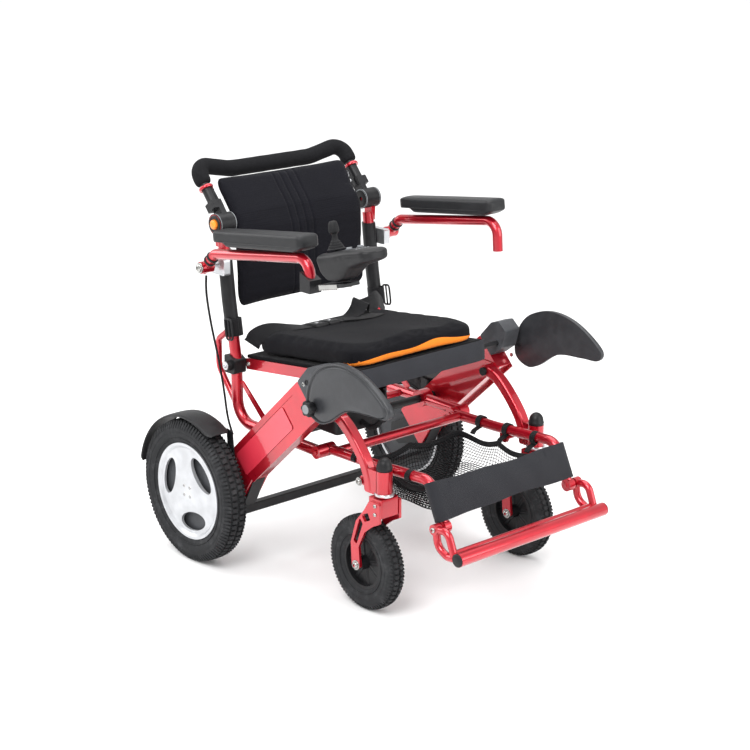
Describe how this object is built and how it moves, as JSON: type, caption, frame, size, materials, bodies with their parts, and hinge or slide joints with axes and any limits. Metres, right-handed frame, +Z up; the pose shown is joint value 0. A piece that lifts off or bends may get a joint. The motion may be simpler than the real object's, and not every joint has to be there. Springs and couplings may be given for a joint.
{
  "type": "power wheelchair",
  "caption": "Folding power wheelchair with box side arms, hub-motor drive wheels, swivel casters, joystick, flip-up armrests and footrest, net basket and padded seat.",
  "frame": {"origin": "on the ground under the middle of the chair's bounding box", "axes": "+X forward, +Y to the sitter's left, +Z up"},
  "size_m": [0.8814, 0.696, 0.8462],
  "materials": {
    "red_paint": "gloss metallic red lacquer",
    "grey_plastic": "textured moulded grey",
    "black_steel": "satin black paint",
    "black_plastic": "satin moulded black",
    "tyre": "grey-black solid tyre",
    "silver_alloy": "cast and painted silver",
    "rubber": "soft black rubber and foam",
    "orange_plastic": "glossy orange",
    "soft_touch": "skinned polyurethane foam",
    "grey_buttons": "satin",
    "black_fabric": "padded black nylon and spacer mesh",
    "webbing": "woven black and dark grey nylon",
    "grey_panel": "dark grey nylon",
    "net": "open black net"
  },
  "bodies": {
    "chassis": {"box_arm_right": "red_paint", "box_arm_left": "red_paint", "arm_end_caps": "grey_plastic", "motor_mounts": "black_steel", "rear_crossbar": "black_steel", "pivot_pins": "black_steel", "battery_box": "black_plastic", "mudguards": "black_plastic"},
    "drive_wheel_right": {"rear_tyre_right": "tyre", "rear_rim_right": "silver_alloy", "hub_motor_right": "black_plastic"},
    "drive_wheel_left": {"rear_tyre_left": "tyre", "rear_rim_left": "silver_alloy", "hub_motor_left": "black_plastic"},
    "back": {"back_frame": "red_paint", "rail_clamps": "black_plastic", "post_sleeves": "black_plastic", "armrest_brackets": "silver_alloy", "backrest_lower": "black_fabric", "control_cable": "rubber"},
    "upper_back": {"handle_tube": "black_steel", "handle_grip": "rubber", "hinge_drums": "black_steel", "backrest_upper": "black_fabric"},
    "release_button_right": {"hinge_button_right": "orange_plastic"},
    "release_button_left": {"hinge_button_left": "orange_plastic"},
    "armrest_right": {"armrest_tube_right": "red_paint", "armrest_pad_right": "soft_touch", "controller_housing": "black_plastic", "controller_mount": "silver_alloy"},
    "armrest_left": {"armrest_tube_left": "red_paint", "armrest_pad_left": "soft_touch"},
    "gimbal": {"joystick_gimbal": "black_plastic"},
    "stick": {"joystick": "rubber"},
    "power_key": {"power_button": "grey_buttons"},
    "speed_key": {"speed_button": "grey_buttons"},
    "seat": {"seat_frame": "red_paint", "seat_front_panel": "grey_panel", "seat_sling": "black_fabric", "seat_cushion": "black_fabric", "lap_belt_right": "webbing", "lap_belt_left": "webbing"},
    "lower_frame": {"lower_frame": "red_paint", "basket": "net", "calf_strap": "webbing"},
    "leg_right": {"front_leg_right": "red_paint"},
    "leg_left": {"front_leg_left": "red_paint"},
    "fork_right": {"caster_fork_right": "red_paint"},
    "fork_left": {"caster_fork_left": "red_paint"},
    "caster_right": {"caster_tyre_right": "tyre", "caster_rim_right": "black_plastic"},
    "caster_left": {"caster_tyre_left": "tyre", "caster_rim_left": "black_plastic"},
    "footrest": {"footrest": "red_paint"},
    "knee_guard_right": {"knee_guard_right": "grey_plastic"},
    "knee_guard_left": {"knee_guard_left": "grey_plastic"},
    "guard_knob_right": {"guard_knob_right": "black_plastic"},
    "guard_knob_left": {"guard_knob_left": "black_plastic"}
  },
  "joints": [
    {"name": "drive_wheel_right_spin", "type": "hinge", "parent": "chassis", "child": "drive_wheel_right", "pos_m": [-0.273, -0.32, 0.1575], "axis": [0, 1, 0], "continuous": true},
    {"name": "drive_wheel_left_spin", "type": "hinge", "parent": "chassis", "child": "drive_wheel_left", "pos_m": [-0.273, 0.32, 0.1575], "axis": [0, 1, 0], "continuous": true},
    {"name": "fold", "type": "hinge", "parent": "chassis", "child": "back", "pos_m": [-0.115, 0, 0.292], "axis": [0, 1, 0], "range_deg": [0, 45]},
    {"name": "seat_fold", "type": "hinge", "parent": "chassis", "child": "seat", "pos_m": [0.084, 0, 0.456], "axis": [0, 1, 0], "range_deg": [0, 16]},
    {"name": "lower_frame_fold", "type": "hinge", "parent": "back", "child": "lower_frame", "pos_m": [0.011, 0, 0.291], "axis": [0, -1, 0], "range_deg": [0, 72]},
    {"name": "leg_right_fold", "type": "hinge", "parent": "chassis", "child": "leg_right", "pos_m": [0.074, -0.221, 0.396], "axis": [0, 1, 0], "range_deg": [0, 16.5]},
    {"name": "leg_left_fold", "type": "hinge", "parent": "chassis", "child": "leg_left", "pos_m": [0.074, 0.221, 0.396], "axis": [0, 1, 0], "range_deg": [0, 16.5]},
    {"name": "caster_right_swivel", "type": "hinge", "parent": "leg_right", "child": "fork_right", "pos_m": [0.225, -0.217, 0.28], "axis": [0, 0, 1], "continuous": true},
    {"name": "caster_left_swivel", "type": "hinge", "parent": "leg_left", "child": "fork_left", "pos_m": [0.225, 0.217, 0.28], "axis": [0, 0, 1], "continuous": true},
    {"name": "caster_right_roll", "type": "hinge", "parent": "fork_right", "child": "caster_right", "pos_m": [0.173, -0.217, 0.1], "axis": [0, 1, 0], "continuous": true},
    {"name": "caster_left_roll", "type": "hinge", "parent": "fork_left", "child": "caster_left", "pos_m": [0.173, 0.217, 0.1], "axis": [0, 1, 0], "continuous": true},
    {"name": "back_recline", "type": "hinge", "parent": "back", "child": "upper_back", "pos_m": [-0.303, 0, 0.722], "axis": [0, -1, 0], "range_deg": [0, 88]},
    {"name": "release_button_right_press", "type": "slide", "parent": "back", "child": "release_button_right", "axis": [0, 1, 0], "range_m": [0, 0.003], "stiffness_N_per_m": 800, "springref_m": -0.002},
    {"name": "release_button_left_press", "type": "slide", "parent": "back", "child": "release_button_left", "axis": [0, -1, 0], "range_m": [0, 0.003], "stiffness_N_per_m": 800, "springref_m": -0.002},
    {"name": "armrest_right_lift", "type": "hinge", "parent": "back", "child": "armrest_right", "pos_m": [-0.29, -0.262, 0.638], "axis": [0, -1, 0], "range_deg": [0, 90]},
    {"name": "armrest_left_lift", "type": "hinge", "parent": "back", "child": "armrest_left", "pos_m": [-0.29, 0.262, 0.638], "axis": [0, -1, 0], "range_deg": [0, 90]},
    {"name": "joystick_forward", "type": "hinge", "parent": "armrest_right", "child": "gimbal", "pos_m": [0.122, -0.249, 0.738], "axis": [0, 1, 0], "range_deg": [-15, 15], "stiffness_Nm_per_rad": 0.6},
    {"name": "joystick_sideways", "type": "hinge", "parent": "gimbal", "child": "stick", "pos_m": [0.122, -0.249, 0.738], "axis": [0.9781, 0, 0.2079], "range_deg": [-15, 15], "stiffness_Nm_per_rad": 0.6},
    {"name": "power_button_press", "type": "slide", "parent": "armrest_right", "child": "power_key", "axis": [0.2079, 0, -0.9781], "range_m": [0, 0.0015], "stiffness_N_per_m": 400, "springref_m": -0.001},
    {"name": "speed_button_press", "type": "slide", "parent": "armrest_right", "child": "speed_key", "axis": [0.2079, 0, -0.9781], "range_m": [0, 0.0015], "stiffness_N_per_m": 400, "springref_m": -0.001},
    {"name": "footrest_flip", "type": "hinge", "parent": "lower_frame", "child": "footrest", "pos_m": [0.358, 0, 0.22], "axis": [0, -1, 0], "range_deg": [0, 80]},
    {"name": "knee_guard_right_tilt", "type": "hinge", "parent": "chassis", "child": "knee_guard_right", "pos_m": [0.112, -0.297, 0.432], "axis": [0, -1, 0], "range_deg": [-15, 20]},
    {"name": "knee_guard_left_tilt", "type": "hinge", "parent": "chassis", "child": "knee_guard_left", "pos_m": [0.112, 0.297, 0.432], "axis": [0, -1, 0], "range_deg": [-15, 20]},
    {"name": "guard_knob_right_turn", "type": "hinge", "parent": "chassis", "child": "guard_knob_right", "pos_m": [0.112, -0.31, 0.432], "axis": [0, 1, 0], "continuous": true},
    {"name": "guard_knob_left_turn", "type": "hinge", "parent": "chassis", "child": "guard_knob_left", "pos_m": [0.112, 0.31, 0.432], "axis": [0, 1, 0], "continuous": true}
  ],
  "couplings": [
    {"joint": "seat_fold", "follows": "fold", "ratio": 0.34},
    {"joint": "lower_frame_fold", "follows": "fold", "ratio": 1.566},
    {"joint": "leg_right_fold", "follows": "fold", "ratio": 0.346},
    {"joint": "leg_left_fold", "follows": "fold", "ratio": 0.346}
  ]
}
